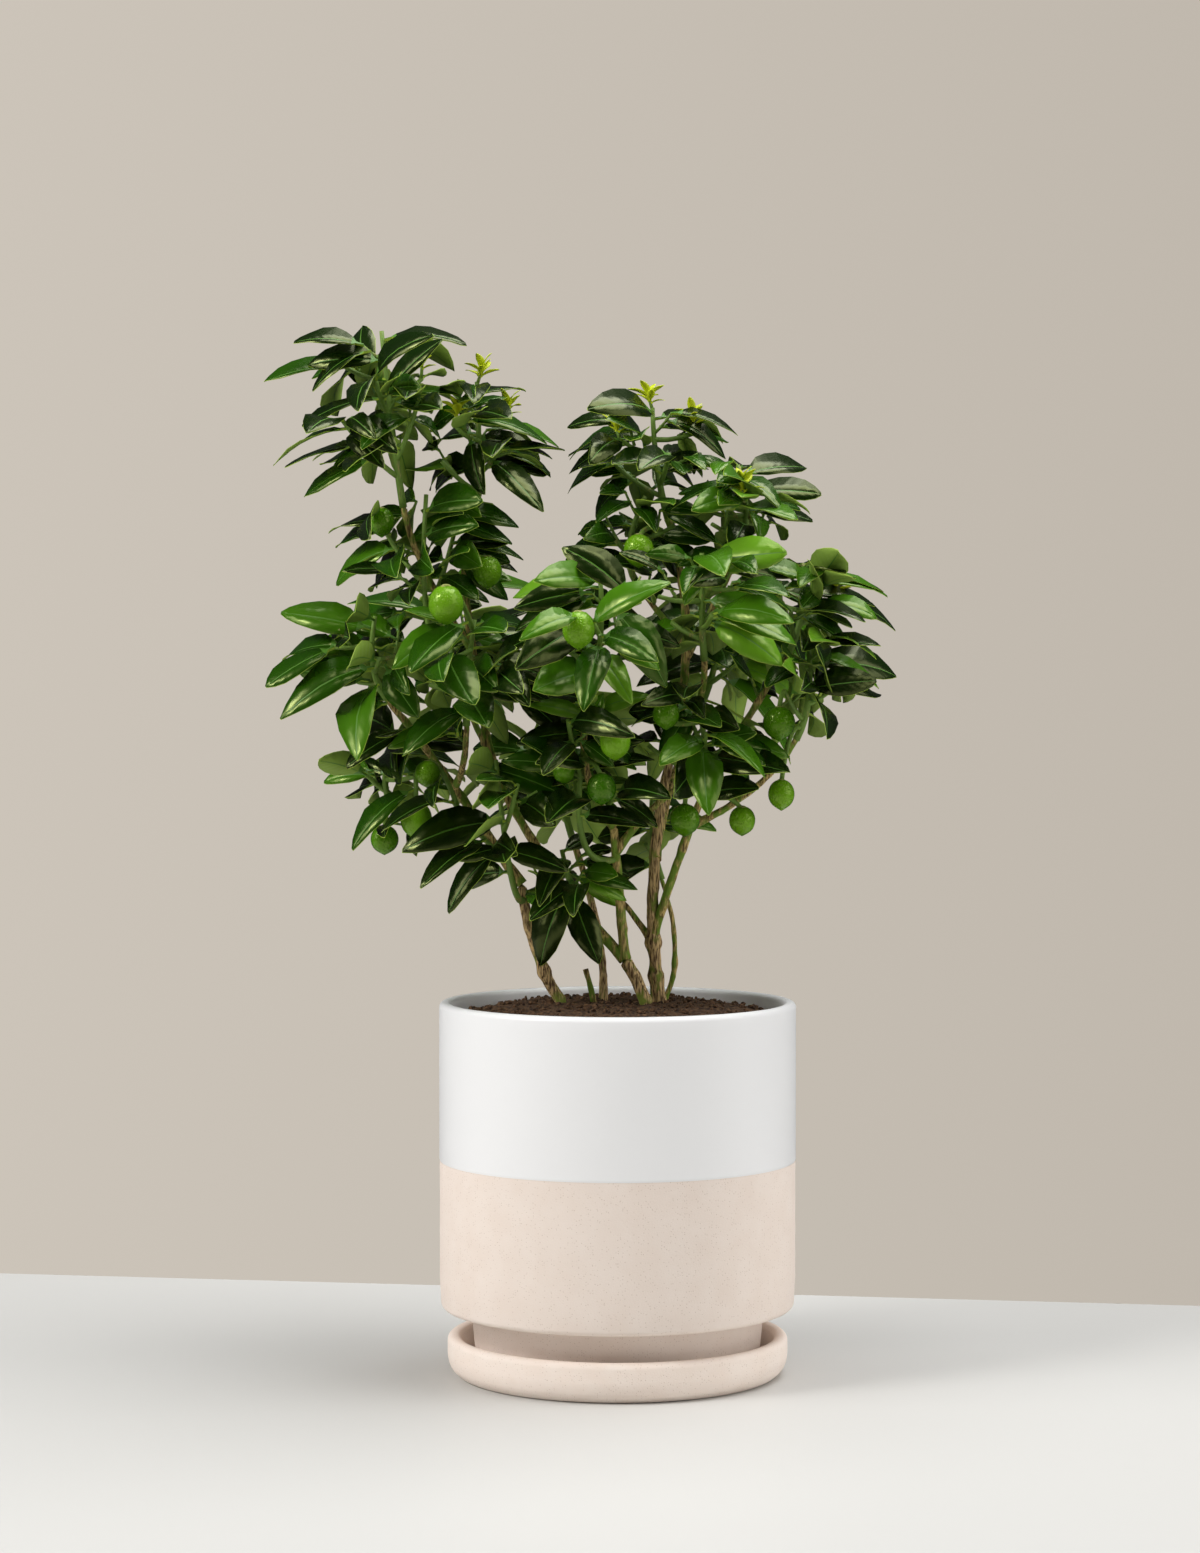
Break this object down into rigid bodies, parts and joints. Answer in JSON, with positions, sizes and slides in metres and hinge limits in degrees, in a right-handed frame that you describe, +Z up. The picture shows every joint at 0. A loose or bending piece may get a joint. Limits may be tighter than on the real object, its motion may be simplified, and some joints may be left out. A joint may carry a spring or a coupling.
{
  "type": "potted key lime tree",
  "caption": "Bushy key lime tree with several woody stems, glossy leaves and green limes, in a round two-tone stoneware pot on a saucer.",
  "frame": {"origin": "on the floor under the middle of the saucer, at the centre of its flat underside", "axes": "+Z up along the pot's axis, -Y towards the front of the plant, +X to its right seen from the front"},
  "size_m": [0.4336, 0.3081, 0.7198],
  "materials": {
    "stoneware": "matte",
    "glazed_stoneware": "satin",
    "soil": "matte",
    "bark": "matte",
    "green_wood": "matte",
    "foliage": "satin"
  },
  "bodies": {
    "root": {"saucer": "stoneware", "pot": "glazed_stoneware", "soil": "soil", "stem_left": "bark", "stem_stub": "green_wood", "stem_back": "bark", "stem_middle": "bark", "stem_main": "bark", "stem_shoot": "green_wood", "bough_plume": "green_wood", "bough_leader": "green_wood", "bough_plume_left": "green_wood", "bough_plume_right": "green_wood", "bough_middle": "green_wood", "bough_heart": "green_wood", "bough_crown": "green_wood", "bough_shoulder": "green_wood", "bough_crown_left": "green_wood", "bough_heart_right": "green_wood", "bough_right": "green_wood", "bough_inner": "green_wood", "bough_right_arm": "green_wood", "bough_right_low": "green_wood", "bough_skirt_right": "green_wood", "bough_back": "green_wood", "bough_left_arch": "green_wood", "bough_left_low": "green_wood", "bough_left_heart": "green_wood", "bough_left_back": "green_wood", "plume_top_left": "foliage", "plume_top_right": "foliage", "plume_middle": "foliage", "left_arm": "foliage", "left_heart": "foliage", "left_low": "foliage", "left_skirt": "foliage", "left_back": "foliage", "crown_top": "foliage", "crown_shoulder": "foliage", "crown_left": "foliage", "heart_front": "foliage", "heart_right": "foliage", "right_arm": "foliage", "right_low": "foliage", "skirt_middle": "foliage", "skirt_right": "foliage", "right_back": "foliage", "skirt_back": "foliage", "foot_leaves": "foliage", "inner_sprig": "foliage"}
  },
  "joints": []
}
